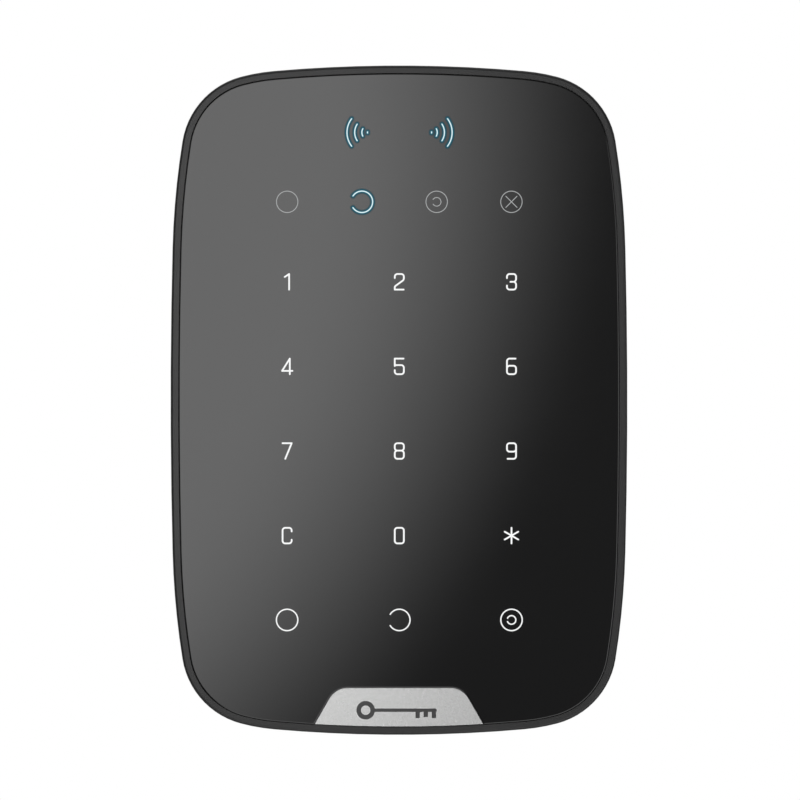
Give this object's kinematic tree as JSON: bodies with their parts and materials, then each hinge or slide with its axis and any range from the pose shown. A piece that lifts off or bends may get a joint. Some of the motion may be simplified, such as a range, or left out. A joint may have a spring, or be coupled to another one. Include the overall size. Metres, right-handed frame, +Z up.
{
  "type": "rfid card reader",
  "caption": "Wall-mounted wireless touch keypad with a contactless card reader, on a slide-off bracket with a battery bay, tamper plunger and buzzer.",
  "frame": {"origin": "centre of the bracket's wall face, in the plane of the wall", "axes": "+Z up the wall, +X to the right as a user faces the keypad, +Y into the wall; the touch face looks along -Y"},
  "size_m": [0.1126, 0.02, 0.165],
  "materials": {
    "bracket_plastic": "moulded, fine matte",
    "housing_plastic": "moulded, fine spark texture",
    "lens_gloss": "polished smoked acrylic, hard-coated",
    "mask_film": "black light-blocking film",
    "legend_white": "translucent white print, back-lit",
    "legend_grey": "translucent grey print, unlit",
    "legend_lit": "translucent print, lit cyan-white",
    "badge_silver": "sparkle silver plate",
    "badge_ink": "dark grey paint fill",
    "adhesive": "black foam tape",
    "diffuser": "milky light-spreading film",
    "circuit_board": "green solder mask",
    "led": "clear resin over phosphor",
    "copper": "plated copper foil",
    "ferrite": "flexible ferrite sheet",
    "chip_black": "moulded epoxy",
    "tin_can": "tinned steel",
    "antenna_wire": "tinned copper wire",
    "buzzer_plastic": "moulded",
    "buzzer_brass": "brass plate",
    "switch_plastic": "moulded",
    "stem_plastic": "moulded",
    "plunger_plastic": "moulded acetal",
    "button_rubber": "moulded silicone",
    "spring_steel": "nickel-plated wire",
    "screw_steel": "black zinc",
    "tray_plastic": "moulded",
    "cell_wrap": "printed shrink sleeve"
  },
  "bodies": {
    "bracket": {"mounting_bracket": "bracket_plastic"},
    "keypad": {"front_housing": "housing_plastic", "rear_housing": "housing_plastic", "touch_lens": "lens_gloss", "light_mask": "mask_film", "key_legends": "legend_white", "function_legends": "legend_white", "status_legends": "legend_grey", "lit_legends": "legend_lit", "badge_plate": "badge_silver", "badge_symbol": "badge_ink", "lens_adhesive": "adhesive", "diffuser_film": "diffuser", "main_board": "circuit_board", "key_leds": "led", "indicator_leds": "led", "touch_electrodes": "copper", "reader_antenna": "copper", "ferrite_sheet": "ferrite", "controller_chip": "chip_black", "reader_chip": "chip_black", "radio_module": "tin_can", "radio_antennas": "antenna_wire", "buzzer_case": "buzzer_plastic", "buzzer_disc": "buzzer_brass", "tamper_switch": "switch_plastic", "power_switch": "switch_plastic", "tamper_spring": "spring_steel", "battery_springs": "spring_steel", "battery_contacts": "spring_steel", "case_screws": "screw_steel", "battery_tray": "tray_plastic", "cell_1": "cell_wrap", "cell_2": "cell_wrap", "cell_3": "cell_wrap", "cell_4": "cell_wrap"},
    "battery_cover": {"battery_cover": "housing_plastic"},
    "power_button": {"power_button": "button_rubber", "power_switch_stem": "stem_plastic"},
    "tamper_plunger": {"tamper_plunger": "plunger_plastic", "tamper_switch_stem": "stem_plastic"}
  },
  "joints": [
    {"name": "unit_slide", "type": "slide", "parent": "bracket", "child": "keypad", "axis": [0, 0, 1], "range_m": [0, 0.008]},
    {"name": "cover_lift", "type": "slide", "parent": "keypad", "child": "battery_cover", "axis": [0, 1, 0], "range_m": [0, 0.02]},
    {"name": "power_press", "type": "slide", "parent": "keypad", "child": "power_button", "axis": [0, -1, 0], "range_m": [0, 0.0006], "stiffness_N_per_m": 400, "springref_m": -0.0005},
    {"name": "tamper_press", "type": "slide", "parent": "keypad", "child": "tamper_plunger", "axis": [0, -1, 0], "range_m": [0, 0.0008], "stiffness_N_per_m": 150, "springref_m": -0.002, "deforming": ["tamper_spring"]}
  ]
}
